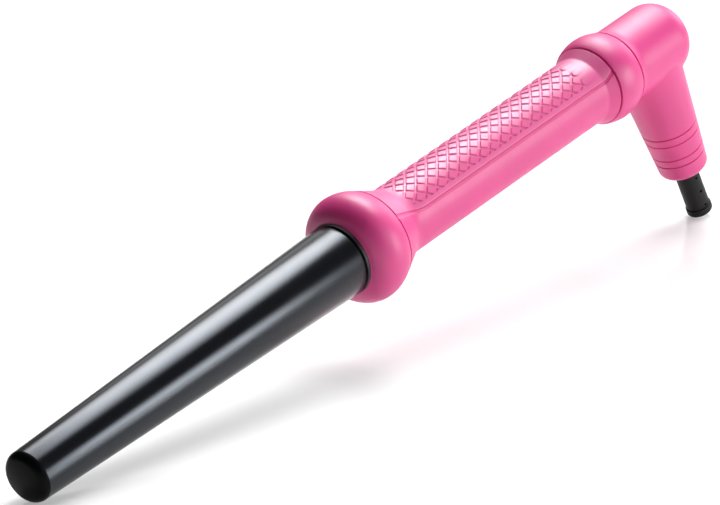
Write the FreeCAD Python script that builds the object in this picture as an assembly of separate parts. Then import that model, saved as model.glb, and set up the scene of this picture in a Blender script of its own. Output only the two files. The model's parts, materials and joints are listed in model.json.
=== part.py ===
"""Cone-barrel curling wand with an angled swivel-cord end, as separate pieces in millimetres.

The pieces are drawn in the tool frame, in which +X runs along the barrel and handle from the tip to the rear,
+Y is across the wand and +Z is its top, with x = 0 where the barrel meets the guard.  Pieces in the leg are
drawn in the leg frame, whose x is the distance down the leg.  The last step tilts everything, so that the tip
and the cord guard stand on z = 0, and centres it over the origin.
"""
import FreeCAD, Part
import os
from math import asin, atan2, cos, degrees, hypot, radians, sin, sqrt, tan

# ---- barrel and heater -----------------------------------------------------------------------------------
BARREL_LENGTH = 150.8
BARREL_BASE_R = 12.5
BARREL_TIP_R = 8.7
TIP_EDGE_R = 3.0
TIP_DOME = 1.2
TIP_WALL = 1.6
NECK_R = 11.4
NECK_WALL = 1.0
NECK_LENGTH = 20.0
CAVITY_TIP_R = 7.4
HEATER_START = -112.0
HEATER_END = -22.0
PLATE_LENGTH = 80.0
PLATE_WIDTH = 12.0
PLATE_THICKNESS = 2.2
FILM_THICKNESS = 0.3
FUSE_LENGTH = 10.0
FUSE_R = 1.9
FUSE_START = 2.0
SENSOR_R = 1.2
SENSOR_LENGTH = 6.0
SENSOR_Y = 4.0
SENSOR_Z = 4.6

# ---- front guard and barrel mount ------------------------------------------------------------------------
RING_START = 0.9
RING_LIP_R = 12.7
RING_LIP_WIDTH = 1.1
RING_R = 12.4
RING_END = 12.0
GUARD_START = 2.3
GUARD_END = 17.3
GUARD_MOUTH_R = 12.9
GUARD_MAX_R = 19.1
GUARD_MAX_X = 10.4
GUARD_REAR_R = 17.1
GROOVE_START = 6.5
GROOVE_INNER_R = 14.2
GROOVE_OUTER_R = 15.4
CLAMP_START = 12.3
CLAMP_R = 13.9
CLAMP_SCREW_X = 16.2
CLAMP_SCREW_R = 1.2
CLAMP_SCREW_HEAD_R = 2.0
CLAMP_SCREW_HEAD_H = 1.0
CLAMP_SCREW_SINK = 0.25
DISC_THICKNESS = 0.8
DISC_R = 13.2

# ---- handle ----------------------------------------------------------------------------------------------
SEAM = 0.3
RING_SEAM = 0.5
HANDLE_FRONT_R = 16.85
FLARE_END = 28.0
HANDLE_R = 12.25
COVE_START = 131.8
HANDLE_END = 136.2
HANDLE_REAR_R = 14.1
HANDLE_WALL = 2.0
FLARE_BLEND_R = 12.0
COVE_BLEND_R = 2.5
SPIGOT_START = 8.0
NECK_FIT_R = 12.1
NECK_FIT_LENGTH = 5.6
SPLIT_Z = 5.1
SPLIT_START_Z = 14.05
SPLIT_FRONT_X = 31.0
SPLIT_REAR_X = 132.5
SPLIT_REAR_Z = 7.4
SPLIT_OVERRUN = 0.5
SPLIT_BLEND_R = 30.0
HANDLE_SCREW_XS = (33.0, 112.0)
HANDLE_SCREW_R = 1.3
HANDLE_SCREW_HEAD_R = 2.6
HANDLE_SCREW_HEAD_H = 1.6
HANDLE_SCREW_REACH = 8.0
HANDLE_SCREW_SINK = 9.2
HANDLE_BOSS_R = 3.1

# ---- control board ---------------------------------------------------------------------------------------
BOARD_START = 40.0
BOARD_LENGTH = 64.0
BOARD_WIDTH = 17.0
BOARD_THICKNESS = 1.6
BOARD_SCREW_FRONT_SETBACK = 12.0
BOARD_SCREW_REAR_SETBACK = 7.0
BOARD_SCREW_R = 1.0
BOARD_SCREW_HEAD_R = 1.9
BOARD_SCREW_HEAD_H = 1.3
BOARD_SCREW_LENGTH = 7.0
BOARD_BOSS_R = 2.6
LEAD_R = 0.75
LEAD_Y = 4.4
LEAD_LAP = 6.0
LEAD_SETBACK = -4.2
LEAD_BEND = 7.0
SHORT_LEAD_BEND = 1.6
SWITCH_LEAD_TURN = 5.0
TERMINAL_LAP = 0.6
SENSOR_LEAD_R = 0.4
SENSOR_LEAD_BEND = 2.5
SENSOR_LEAD_DROP = 14.0
SENSOR_LEAD_LAND = 2.0
SENSOR_LEAD_ASIDE = 1.0
CAPACITOR_SIZE = (13.0, 6.0, 7.0)
CAPACITOR_PLACE = (58.0, 3.6)
TRIAC_SIZE = (10.0, 4.6, 8.0)
TRIAC_PLACE = (58.0, -4.2)
CONNECTOR_SIZE = (8.0, 10.0, 5.0)
CONNECTOR_REAR_SETBACK = 22.0

# ---- rear collar and elbow -------------------------------------------------------------------------------
COLLAR_END = 148.6
COLLAR_FRONT_R = 14.6
COLLAR_MAX_R = 15.7
COLLAR_MAX_X = 142.5
COLLAR_REAR_R = 14.9
ELBOW_FRONT_R = 14.5
ELBOW_R = 13.45
ELBOW_COVE_END = 153.0
ELBOW_DOME_START = 173.7
ELBOW_DOME_EDGE_R = 9.5
ELBOW_DOME_EDGE_SWEEP = 70.0
ELBOW_WALL = 2.0
ELBOW_BLEND_R = 1.6

# ---- leg, which leans back from square ------------------------------------------------------------------
LEG_X = 166.5
LEG_LEAN = 12.1
LEG_LENGTH = 51.7
LEG_TOP_R = 12.7
LEG_END_R = 8.7
LEG_END_EDGE_R = 2.6
LEG_WALL = 2.0
LEG_FLOOR = 2.4
GROOVE_SETBACKS = (19.4, 16.2, 9.95, 6.8)
GROOVE_WIDTH = 0.7
GROOVE_DEPTH = 0.35

# ---- rocker switch in the back of the leg ----------------------------------------------------------------
SWITCH_PLACE = 23.7
SWITCH_FLAT = 8.8
SWITCH_BEZEL_LENGTH = 16.0
SWITCH_BEZEL_WIDTH = 8.4
SWITCH_BEZEL_H = 1.0
SWITCH_BODY_LENGTH = 13.4
SWITCH_BODY_WIDTH = 7.4
SWITCH_BODY_DEPTH = 6.2
ROCKER_LENGTH = 11.4
ROCKER_WIDTH = 5.3
ROCKER_GAP = 0.35
ROCKER_THROW = 16.0
ROCKER_PIVOT_DEPTH = 0.7
ROCKER_RISE = 2.7
ROCKER_SHOULDER = 0.8
ROCKER_DIP = 1.7
ROCKER_SLANT = 0.6
ROCKER_HUB_R = 2.0
TRUNNION_R = 0.8
TRUNNION_CLEARANCE = 0.06
TRUNNION_REACH = 0.8
WINDOW_LENGTH = 2.6
WINDOW_WIDTH = 2.4
WINDOW_DEPTH = 0.8
WINDOW_OFFSET = 3.1
WINDOW_RISE = 2.05
TERMINAL_LENGTH = 4.2
TERMINAL_WIDTH = 3.0
TERMINAL_THICKNESS = 0.8
TERMINAL_SPACING = 8.6

# ---- swivel and cord guard -------------------------------------------------------------------------------
GUARD_SLEEVE_R = 4.25
GUARD_RIM_R = 4.65
GUARD_RIM_EDGE_R = 1.2
GUARD_RIM_WIDTH = 3.2
GUARD_REACH = 19.1
GUARD_BORE_R = 2.8
GUARD_HEAD_R = 5.6
GUARD_HEAD_WIDTH = 2.2
GUARD_HOLE_COUNT = 3
GUARD_HOLE_SETBACK = 4.0
GUARD_HOLE_PITCH = 5.8
GUARD_HOLE_R = 0.5
GUARD_HOLE_TURN = -7.0
BUSH_WIDTH = 2.7
BUSH_R_GAP = 0.08
RUNNING_CLEARANCE = 0.06
LEG_OUTLET_R = 4.6
HUB_R = 3.5
HUB_BORE_R = 1.8
SLIP_RING_R = 4.1
SLIP_RING_WIDTH = 1.4
SLIP_RING_SETBACK = 1.5
HOLDER_GAP = 1.4
HOLDER_WIDTH = 6.0
HOLDER_INNER_R = 5.2
BRUSH_WIDTH = 1.2
BRUSH_HEIGHT = 2.4

# ---- shared clearances -----------------------------------------------------------------------------------
FIT = 0.1
SLIP = 0.05
EDGE = 0.3

X_AXIS = FreeCAD.Vector(1, 0, 0)
Y_AXIS = FreeCAD.Vector(0, 1, 0)
Z_AXIS = FreeCAD.Vector(0, 0, 1)
ORIGIN = FreeCAD.Vector(0, 0, 0)

LEAN = radians(LEG_LEAN)
BOARD_TOP = -LEAD_R - SLIP
BOARD_BOTTOM = BOARD_TOP - BOARD_THICKNESS
BOARD_SCREW_XS = (BOARD_START + BOARD_SCREW_FRONT_SETBACK,
                  BOARD_START + BOARD_LENGTH - BOARD_SCREW_REAR_SETBACK)
CONNECTOR_X = BOARD_START + BOARD_LENGTH - CONNECTOR_REAR_SETBACK
HANDLE_START = GUARD_END + RING_SEAM
HANDLE_INNER_R = HANDLE_R - HANDLE_WALL
LEG_CAVITY_END = LEG_LENGTH - LEG_FLOOR
GUARD_TIP = LEG_LENGTH + GUARD_REACH
GUARD_HEAD_END = LEG_CAVITY_END - BUSH_WIDTH
GUARD_HEAD_START = GUARD_HEAD_END - GUARD_HEAD_WIDTH
HOLDER_END = GUARD_HEAD_START - HOLDER_GAP
HOLDER_START = HOLDER_END - HOLDER_WIDTH
SLIP_RING_PLACES = (HOLDER_START + SLIP_RING_SETBACK, HOLDER_END - SLIP_RING_SETBACK)


# ---- helpers -----------------------------------------------------------------------------------------------
def vec(x, y=0.0, z=0.0):
    return FreeCAD.Vector(x, y, z)


def outline(start, *steps):
    """Closed wire in the XZ plane; a step is a point for a line, or a (middle, end) pair for an arc."""
    edges = []
    here = vec(start[0], 0, start[1])
    for step in steps + (start,):
        if isinstance(step[0], tuple):
            middle, end = (vec(p[0], 0, p[1]) for p in step)
            edges.append(Part.Arc(here, middle, end).toShape())
        else:
            end = vec(step[0], 0, step[1])
            if here.distanceToPoint(end) > 1e-6:
                edges.append(Part.LineSegment(here, end).toShape())
        here = end
    return Part.Wire(edges)


def turned(start, *steps):
    """Solid of revolution about the x axis from an outline of (x, radius) points."""
    return Part.Face(outline(start, *steps)).revolve(ORIGIN, X_AXIS, 360)


def tube(x0, x1, outer, inner):
    return turned((x0, inner), (x0, outer), (x1, outer), (x1, inner))


def rod(x0, x1, radius, y=0.0, z=0.0):
    return Part.makeCylinder(radius, x1 - x0, vec(x0, y, z), X_AXIS)


def post(x, y, z0, z1, radius):
    return Part.makeCylinder(radius, z1 - z0, vec(x, y, z0), Z_AXIS)


def block(x0, x1, width, z0, z1, y=0.0):
    return Part.makeBox(x1 - x0, width, z1 - z0, vec(x0, y - width / 2, z0))


def softened(shape, radius, *rims):
    """Round the circular edges about the x axis that are named by their (x, radius)."""
    picked = []
    for edge in shape.Edges:
        if edge.Degenerated or not isinstance(edge.Curve, Part.Circle):
            continue
        curve = edge.Curve
        for x, r in rims:
            if abs(curve.Center.x - x) < 1e-4 and abs(curve.Radius - r) < 1e-4:
                picked.append(edge)
    return shape.makeFillet(radius, picked)


def blend_point(before, corner, after, radius):
    """Start, middle and end of the arc that rounds a corner."""
    back = (before - corner).normalize()
    ahead = (after - corner).normalize()
    half = back.getAngle(ahead) / 2
    reach = radius / tan(half)
    centre_way = (back + ahead).normalize()
    centre = corner + centre_way * (radius / sin(half))
    return corner + back * reach, centre - centre_way * radius, corner + ahead * reach


def lead(points, radius, bend):
    """Round wire along straight runs joined by tangent arcs."""
    edges = []
    here = points[0]
    for i in range(1, len(points) - 1):
        start, middle, end = blend_point(points[i - 1], points[i], points[i + 1], bend)
        edges.append(Part.LineSegment(here, start).toShape())
        edges.append(Part.Arc(start, middle, end).toShape())
        here = end
    edges.append(Part.LineSegment(here, points[-1]).toShape())
    path = Part.Wire(edges)
    ring = Part.Wire(Part.Circle(points[0], points[1] - points[0], radius).toShape())
    return path.makePipeShell([ring], True, True)


def leg_frame():
    return FreeCAD.Placement(vec(LEG_X), FreeCAD.Rotation(Y_AXIS, 90 - LEG_LEAN))


def in_leg(shape):
    """Move a piece drawn in the leg frame into the tool frame."""
    moved = shape.copy()
    moved.transformShape(leg_frame().toMatrix(), True)
    return moved


def leg_point(along, y, z):
    return leg_frame().multVec(vec(along, y, z))


def leg_radius(along):
    return LEG_TOP_R + (LEG_END_R - LEG_TOP_R) * along / LEG_LENGTH


def cavity_radius(x):
    """Radius of the barrel's inside at x, which narrows towards the tip."""
    base = NECK_R - NECK_WALL
    return base + (base - CAVITY_TIP_R) * x / (BARREL_LENGTH - TIP_WALL)


# ---- barrel and heater pieces ------------------------------------------------------------------------------
def barrel():
    tip = -BARREL_LENGTH
    floor = tip + TIP_WALL
    neck_inner = NECK_R - NECK_WALL
    shell = turned(
        (tip - TIP_DOME, 0), ((tip - TIP_DOME * 0.75, BARREL_TIP_R / 2), (tip, BARREL_TIP_R)),
        (0, BARREL_BASE_R), (0, NECK_R), (NECK_LENGTH, NECK_R), (NECK_LENGTH, neck_inner), (0, neck_inner),
        (floor, cavity_radius(floor)), (floor, 0))
    shell = softened(shell, TIP_EDGE_R, (tip, BARREL_TIP_R))
    shell = softened(shell, EDGE, (0, BARREL_BASE_R))
    for side in (-1, 1):
        shell = shell.cut(radial_rod(side, neck_inner - 1, NECK_R + 1, CLAMP_SCREW_R + SLIP))
    return shell


def radial_rod(side, r0, r1, radius):
    return Part.makeCylinder(radius, r1 - r0, vec(CLAMP_SCREW_X, side * r0, 0), vec(0, side, 0))


def heat_ring():
    inner = NECK_R + SLIP
    lip_end = RING_START + RING_LIP_WIDTH
    ring = turned((RING_START, inner), (RING_START, RING_LIP_R), (lip_end, RING_LIP_R), (lip_end, RING_R),
                  (RING_END, RING_R), (RING_END, inner))
    return softened(ring, EDGE, (RING_START, RING_LIP_R))


def clamp_screw_seat():
    return CLAMP_R - CLAMP_SCREW_SINK - CLAMP_SCREW_HEAD_H


def barrel_clamp():
    inner = NECK_R + SLIP
    clamp = tube(CLAMP_START, NECK_LENGTH, CLAMP_R, inner)
    for side in (-1, 1):
        clamp = clamp.cut(radial_rod(side, inner - 1, CLAMP_R + 1, CLAMP_SCREW_R + SLIP))
        clamp = clamp.cut(radial_rod(side, clamp_screw_seat(), CLAMP_R + 1, CLAMP_SCREW_HEAD_R + FIT))
    return clamp


def barrel_screws():
    screws = []
    for side in (-1, 1):
        low = clamp_screw_seat() + SLIP
        shank = radial_rod(side, NECK_R - NECK_WALL, low, CLAMP_SCREW_R)
        head = radial_rod(side, low, low + CLAMP_SCREW_HEAD_H, CLAMP_SCREW_HEAD_R)
        screws.append(shank.fuse(head))
    return Part.makeCompound(screws)


def insulator_disc():
    x0 = NECK_LENGTH + SLIP
    x1 = x0 + DISC_THICKNESS
    disc = rod(x0, x1, DISC_R)
    for side in (-1, 1):
        disc = disc.cut(rod(x0 - 1, x1 + 1, LEAD_R + FIT, side * LEAD_Y))
    return disc.cut(rod(x0 - 1, x1 + 1, SENSOR_R, SENSOR_Y, SENSOR_Z))


def heater_half(side):
    gap = PLATE_THICKNESS / 2 + FILM_THICKNESS + 2 * SLIP
    cone = turned((HEATER_START, 0), (HEATER_START, cavity_radius(HEATER_START) - FIT),
                  (HEATER_END, cavity_radius(HEATER_END) - FIT), (HEATER_END, 0))
    keep_low, keep_high = (gap, BARREL_BASE_R) if side > 0 else (-BARREL_BASE_R, -gap)
    half = cone.common(block(HEATER_START, HEATER_END, 2 * BARREL_BASE_R, keep_low, keep_high))
    if side > 0:
        pocket_start = HEATER_END - SENSOR_LENGTH - FIT
        half = half.cut(rod(pocket_start, HEATER_END + 1, SENSOR_R + SLIP, SENSOR_Y, SENSOR_Z))
    return half


def plate_span():
    middle = (HEATER_START + HEATER_END) / 2
    return middle - PLATE_LENGTH / 2, middle + PLATE_LENGTH / 2


def ceramic_heater():
    x0, x1 = plate_span()
    return block(x0, x1, PLATE_WIDTH, -PLATE_THICKNESS / 2, PLATE_THICKNESS / 2)


def heater_films():
    x0, x1 = plate_span()
    low = PLATE_THICKNESS / 2 + SLIP
    high = low + FILM_THICKNESS
    return Part.makeCompound([block(x0, x1, PLATE_WIDTH, low, high), block(x0, x1, PLATE_WIDTH, -high, -low)])


def thermal_sensor():
    return rod(HEATER_END - SENSOR_LENGTH, HEATER_END, SENSOR_R, SENSOR_Y, SENSOR_Z)


def thermal_fuse():
    fuse = rod(FUSE_START, FUSE_START + FUSE_LENGTH, FUSE_R, -LEAD_Y)
    return fuse.makeFillet(EDGE, [e for e in fuse.Edges if isinstance(e.Curve, Part.Circle)])


def heater_leads():
    start = plate_span()[1] + SLIP
    end = BOARD_START + LEAD_LAP
    fuse_end = FUSE_START + FUSE_LENGTH
    return Part.makeCompound([
        rod(start, end, LEAD_R, LEAD_Y),
        rod(start, FUSE_START, LEAD_R, -LEAD_Y),
        rod(fuse_end, end, LEAD_R, -LEAD_Y)])


def sensor_leads():
    drop_x = NECK_LENGTH + SENSOR_LEAD_DROP
    land_x = BOARD_START + SENSOR_LEAD_LAND
    low = BOARD_TOP + SENSOR_LEAD_R + SLIP
    wires = []
    for side in (-1, 1):
        y = SENSOR_Y + side * (SENSOR_LEAD_R + SLIP)
        land_y = LEAD_Y + LEAD_R + SENSOR_LEAD_ASIDE + side * (SENSOR_LEAD_R + SLIP)
        route = [vec(HEATER_END, y, SENSOR_Z), vec(drop_x, y, SENSOR_Z), vec(land_x, land_y, low),
                 vec(land_x + LEAD_LAP, land_y, low)]
        wires.append(lead(route, SENSOR_LEAD_R, SENSOR_LEAD_BEND))
    return Part.makeCompound(wires)


# ---- front guard and handle pieces -------------------------------------------------------------------------
def front_guard():
    bore = RING_R + SLIP
    shoulder = RING_START + RING_LIP_WIDTH + SLIP
    swell = GUARD_MAX_X - GUARD_START
    rise = GUARD_MAX_R - GUARD_MOUTH_R
    nose_r = (swell ** 2 + rise ** 2) / (2 * rise)
    half_sweep = asin(swell / nose_r) / 2
    nose_mid = (GUARD_MAX_X - nose_r * sin(half_sweep), GUARD_MAX_R - nose_r * (1 - cos(half_sweep)))
    fall = GUARD_MAX_R - GUARD_REAR_R
    body = turned(
        (shoulder, bore), (GUARD_START, GUARD_MOUTH_R), (nose_mid, (GUARD_MAX_X, GUARD_MAX_R)),
        (((GUARD_MAX_X + GUARD_END) / 2, GUARD_MAX_R - fall / 4), (GUARD_END, GUARD_REAR_R)),
        (GUARD_END, GROOVE_OUTER_R), (GROOVE_START, GROOVE_OUTER_R), (GROOVE_START, GROOVE_INNER_R),
        (RING_END, GROOVE_INNER_R), (RING_END, bore))
    return softened(body, EDGE, (GUARD_END, GUARD_REAR_R))


def handle_tube():
    """Both handle shells in one, before the split: front spigot, flare, grip, rear cove and rear neck."""
    spigot_outer = GROOVE_OUTER_R - FIT
    spigot_inner = GROOVE_INNER_R + FIT
    flare_blend = blend_point(vec(HANDLE_START, 0, HANDLE_FRONT_R), vec(FLARE_END, 0, HANDLE_R),
                              vec(COVE_START, 0, HANDLE_R), FLARE_BLEND_R)
    cove_blend = blend_point(vec(FLARE_END, 0, HANDLE_R), vec(COVE_START, 0, HANDLE_R),
                             vec(HANDLE_END, 0, HANDLE_REAR_R), COVE_BLEND_R)
    flare, cove = (tuple((p.x, p.z) for p in blend) for blend in (flare_blend, cove_blend))
    neck_end = HANDLE_END + NECK_FIT_LENGTH
    outside = turned(
        (SPIGOT_START, 0), (SPIGOT_START, spigot_outer), (HANDLE_START, spigot_outer),
        (HANDLE_START, HANDLE_FRONT_R), flare[0], (flare[1], flare[2]), cove[0], (cove[1], cove[2]),
        (HANDLE_END, HANDLE_REAR_R), (HANDLE_END, NECK_FIT_R), (neck_end, NECK_FIT_R), (neck_end, 0))
    outside = softened(outside, EDGE, (HANDLE_START, HANDLE_FRONT_R))
    throat = CLAMP_R + FIT
    inside = turned(
        (SPIGOT_START, 0), (SPIGOT_START, spigot_inner), (CLAMP_START, spigot_inner), (HANDLE_START, throat),
        (NECK_LENGTH, throat), (NECK_LENGTH + DISC_THICKNESS + 2 * FIT, DISC_R + FIT),
        (FLARE_END, HANDLE_INNER_R), (neck_end, HANDLE_INNER_R), (neck_end, 0))
    return outside.cut(inside)


def split_solid(lift):
    """Everything above the seam between the two handle shells, seen from the side, raised by lift."""
    corner = blend_point(vec(SPIGOT_START, 0, SPLIT_START_Z), vec(SPLIT_FRONT_X, 0, SPLIT_Z),
                         vec(SPLIT_REAR_X, 0, SPLIT_Z), SPLIT_BLEND_R)
    arc = tuple((p.x, p.z + lift) for p in corner)
    far = HANDLE_END + 2 * NECK_FIT_LENGTH
    slope = (SPLIT_REAR_Z - SPLIT_Z) / (HANDLE_END - SPLIT_REAR_X)
    crest = SPLIT_REAR_Z + slope * SPLIT_OVERRUN
    top = 3 * HANDLE_R
    face = Part.Face(outline(
        (SPIGOT_START, SPLIT_START_Z + lift), arc[0], (arc[1], arc[2]), (SPLIT_REAR_X, SPLIT_Z + lift),
        (HANDLE_END + SPLIT_OVERRUN, crest + lift), (far, crest + lift), (far, top), (SPIGOT_START, top)))
    face.translate(vec(0, -top, 0))
    return face.extrude(vec(0, 2 * top, 0))


def boss_limit():
    """Keeps the screw bosses from breaking through the handle's wall."""
    return rod(HANDLE_START, HANDLE_END, HANDLE_INNER_R + HANDLE_WALL / 2)


def lower_shell(handle):
    shell = handle.cut(split_solid(-SEAM / 2))
    inner = boss_limit()
    for x in HANDLE_SCREW_XS:
        boss = post(x, 0, -HANDLE_R, SPLIT_Z - SEAM, HANDLE_BOSS_R)
        shell = shell.fuse(boss.common(inner))
        shell = shell.cut(post(x, 0, -2 * HANDLE_R, SPLIT_Z, HANDLE_SCREW_R + FIT))
        shell = shell.cut(post(x, 0, -2 * HANDLE_R, -HANDLE_SCREW_SINK, HANDLE_SCREW_HEAD_R + FIT))
    for x in BOARD_SCREW_XS:
        boss = post(x, 0, -HANDLE_R, BOARD_BOTTOM - SLIP, BOARD_BOSS_R)
        shell = shell.fuse(boss.common(inner))
        shell = shell.cut(post(x, 0, BOARD_TOP - BOARD_SCREW_LENGTH - FIT, 0, BOARD_SCREW_R + SLIP))
    return shell.removeSplitter()


def grip_panel(handle):
    panel = handle.common(split_solid(SEAM / 2))
    for x in HANDLE_SCREW_XS:
        boss = post(x, 0, SPLIT_Z, HANDLE_R, HANDLE_BOSS_R)
        panel = panel.fuse(boss.common(boss_limit()))
        panel = panel.cut(post(x, 0, 0, HANDLE_SCREW_REACH + FIT, HANDLE_SCREW_R + SLIP))
    return panel.removeSplitter()


def handle_screws():
    screws = []
    for x in HANDLE_SCREW_XS:
        head = post(x, 0, -HANDLE_SCREW_SINK - HANDLE_SCREW_HEAD_H, -HANDLE_SCREW_SINK, HANDLE_SCREW_HEAD_R)
        screws.append(head.fuse(post(x, 0, -HANDLE_SCREW_SINK, HANDLE_SCREW_REACH, HANDLE_SCREW_R)))
    return Part.makeCompound(screws)


# ---- control board pieces ----------------------------------------------------------------------------------
def control_board():
    board = block(BOARD_START, BOARD_START + BOARD_LENGTH, BOARD_WIDTH, BOARD_BOTTOM, BOARD_TOP)
    for x in BOARD_SCREW_XS:
        board = board.cut(post(x, 0, BOARD_BOTTOM - 1, BOARD_TOP + 1, BOARD_SCREW_R + FIT))
    return board


def board_screws():
    screws = []
    for x in BOARD_SCREW_XS:
        low = BOARD_TOP + SLIP
        head = post(x, 0, low, low + BOARD_SCREW_HEAD_H, BOARD_SCREW_HEAD_R)
        screws.append(head.fuse(post(x, 0, BOARD_TOP - BOARD_SCREW_LENGTH, low, BOARD_SCREW_R)))
    return Part.makeCompound(screws)


def on_board(size, x, y):
    low = BOARD_TOP + SLIP
    part = block(x, x + size[0], size[1], low, low + size[2], y)
    return part.makeFillet(EDGE, [e for e in part.Edges if abs(e.BoundBox.ZLength - size[2]) < 1e-6])


# ---- collar and elbow --------------------------------------------------------------------------------------
def rear_collar():
    start = HANDLE_END + RING_SEAM
    bore = NECK_FIT_R + SLIP
    ring = turned((start, bore), (start, COLLAR_FRONT_R),
                  ((COLLAR_MAX_X, COLLAR_MAX_R), (COLLAR_END, COLLAR_REAR_R)), (COLLAR_END, bore))
    return softened(ring, EDGE, (start, COLLAR_FRONT_R), (COLLAR_END, COLLAR_REAR_R))


def dome_steps(outer, edge_r):
    """The rounded end of the elbow: an edge arc, then a flatter arc that meets the axis square."""
    sweep = radians(ELBOW_DOME_EDGE_SWEEP)
    centre_r = outer - edge_r
    middle = (ELBOW_DOME_START + edge_r * sin(sweep / 2), centre_r + edge_r * cos(sweep / 2))
    end = (ELBOW_DOME_START + edge_r * sin(sweep), centre_r + edge_r * cos(sweep))
    face_x = ELBOW_DOME_START - centre_r * tan(sweep)
    face_r = hypot(end[0] - face_x, end[1])
    half = atan2(end[1], end[0] - face_x) / 2
    crown_mid = (face_x + face_r * cos(half), face_r * sin(half))
    return (middle, end), (crown_mid, (face_x + face_r, 0))


def leg_solid(skin, end, end_edge):
    """The tapered leg in its own frame, skin inside its outer surface, with an optional rounded end."""
    leg = turned((0, 0), (0, leg_radius(0) - skin), (end, leg_radius(end) - skin), (end, 0))
    if end_edge:
        leg = softened(leg, end_edge, (end, leg_radius(end) - skin))
    return leg


def is_blend_edge(edge):
    """True for the long curve where the leg's cone runs into the elbow's tube and dome."""
    if edge.Degenerated:
        return False
    return not isinstance(edge.Curve, (Part.Circle, Part.Line)) and edge.Length > ELBOW_R / 4


def elbow_housing():
    start = COLLAR_END + RING_SEAM
    spigot_start = HANDLE_END + NECK_FIT_LENGTH + SEAM
    head = turned(
        (start, 0), (start, ELBOW_FRONT_R),
        (((start + ELBOW_COVE_END) / 2, ELBOW_R + (ELBOW_FRONT_R - ELBOW_R) / 4), (ELBOW_COVE_END, ELBOW_R)),
        (ELBOW_DOME_START, ELBOW_R), *dome_steps(ELBOW_R, ELBOW_DOME_EDGE_R))
    head = softened(head, EDGE, (start, ELBOW_FRONT_R))
    leg = in_leg(leg_solid(0, LEG_LENGTH, LEG_END_EDGE_R))
    body = head.fuse(leg)
    joint = [e for e in body.Edges if is_blend_edge(e)]
    body = body.makeFillet(ELBOW_BLEND_R, joint)
    body = body.fuse(tube(spigot_start, start, NECK_FIT_R, HANDLE_INNER_R))
    cavity = turned((spigot_start, 0), (spigot_start, HANDLE_INNER_R), (start, HANDLE_INNER_R),
                    (start + ELBOW_WALL, ELBOW_R - ELBOW_WALL), (ELBOW_DOME_START, ELBOW_R - ELBOW_WALL),
                    *dome_steps(ELBOW_R - ELBOW_WALL, ELBOW_DOME_EDGE_R - ELBOW_WALL))
    body = body.cut(cavity)
    body = body.cut(in_leg(leg_solid(LEG_WALL, LEG_CAVITY_END, 0)))
    body = body.cut(in_leg(rod(0, LEG_LENGTH + 1, LEG_OUTLET_R)))
    for setback in GROOVE_SETBACKS:
        body = body.cut(in_leg(ring_groove(LEG_LENGTH - setback)))
    return body.cut(in_leg(switch_pocket()))


def ring_groove(place):
    low = leg_radius(place) - GROOVE_DEPTH
    high = leg_radius(place) + 1
    half = GROOVE_WIDTH / 2
    return turned((place, low), (place + half * 3, high), (place - half * 3, high))


# ---- rocker switch -----------------------------------------------------------------------------------------
def switch_pocket():
    half = SWITCH_BEZEL_LENGTH / 2 + FIT
    top = 2 * LEG_TOP_R
    seat = block(SWITCH_PLACE - half, SWITCH_PLACE + half, SWITCH_BEZEL_WIDTH + 2 * FIT, SWITCH_FLAT, top)
    half = SWITCH_BODY_LENGTH / 2 + FIT
    hole = block(SWITCH_PLACE - half, SWITCH_PLACE + half, SWITCH_BODY_WIDTH + 2 * FIT, 0, top)
    return seat.fuse(hole)


def rocker_pivot_z():
    return SWITCH_FLAT + SWITCH_BEZEL_H - ROCKER_PIVOT_DEPTH


def switch_body():
    low = SWITCH_FLAT + SLIP
    top = low + SWITCH_BEZEL_H
    half = SWITCH_BEZEL_LENGTH / 2
    bezel = block(SWITCH_PLACE - half, SWITCH_PLACE + half, SWITCH_BEZEL_WIDTH, low, top)
    bezel = bezel.makeFillet(EDGE, [e for e in bezel.Edges if e.BoundBox.ZMin > top - 1e-6])
    half = SWITCH_BODY_LENGTH / 2
    body = bezel.fuse(block(SWITCH_PLACE - half, SWITCH_PLACE + half, SWITCH_BODY_WIDTH,
                            low - SWITCH_BODY_DEPTH, low))
    half = ROCKER_LENGTH / 2 + ROCKER_GAP
    width = ROCKER_WIDTH + 2 * ROCKER_GAP
    floor = rocker_pivot_z() - ROCKER_HUB_R - ROCKER_GAP
    body = body.cut(block(SWITCH_PLACE - half, SWITCH_PLACE + half, width, floor, top + 1))
    reach = ROCKER_WIDTH / 2 + TRUNNION_REACH + FIT
    return body.cut(cross_rod(reach, TRUNNION_R + TRUNNION_CLEARANCE)).removeSplitter()


def cross_rod(reach, radius):
    return Part.makeCylinder(radius, 2 * reach, vec(SWITCH_PLACE, -reach, rocker_pivot_z()), Y_AXIS)


def tilted(shape):
    """Turn a rocker piece from level to its off position."""
    moved = shape.copy()
    moved.rotate(vec(SWITCH_PLACE, 0, rocker_pivot_z()), Y_AXIS, -ROCKER_THROW / 2)
    return moved


def rocker_blank():
    front = SWITCH_PLACE - ROCKER_LENGTH / 2
    rear = SWITCH_PLACE + ROCKER_LENGTH / 2
    pivot = rocker_pivot_z()
    shoulder = pivot + ROCKER_SHOULDER
    crest = pivot + ROCKER_RISE
    cap = Part.Face(outline(
        (front + ROCKER_SLANT, shoulder), (front, crest), ((SWITCH_PLACE, pivot + ROCKER_DIP), (rear, crest)),
        (rear - ROCKER_SLANT, shoulder)))
    cap.translate(vec(0, -ROCKER_WIDTH / 2, 0))
    blank = cap.extrude(vec(0, ROCKER_WIDTH, 0))
    blank = blank.fuse(cross_rod(ROCKER_WIDTH / 2, ROCKER_HUB_R))
    return blank.fuse(cross_rod(ROCKER_WIDTH / 2 + TRUNNION_REACH, TRUNNION_R))


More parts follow.
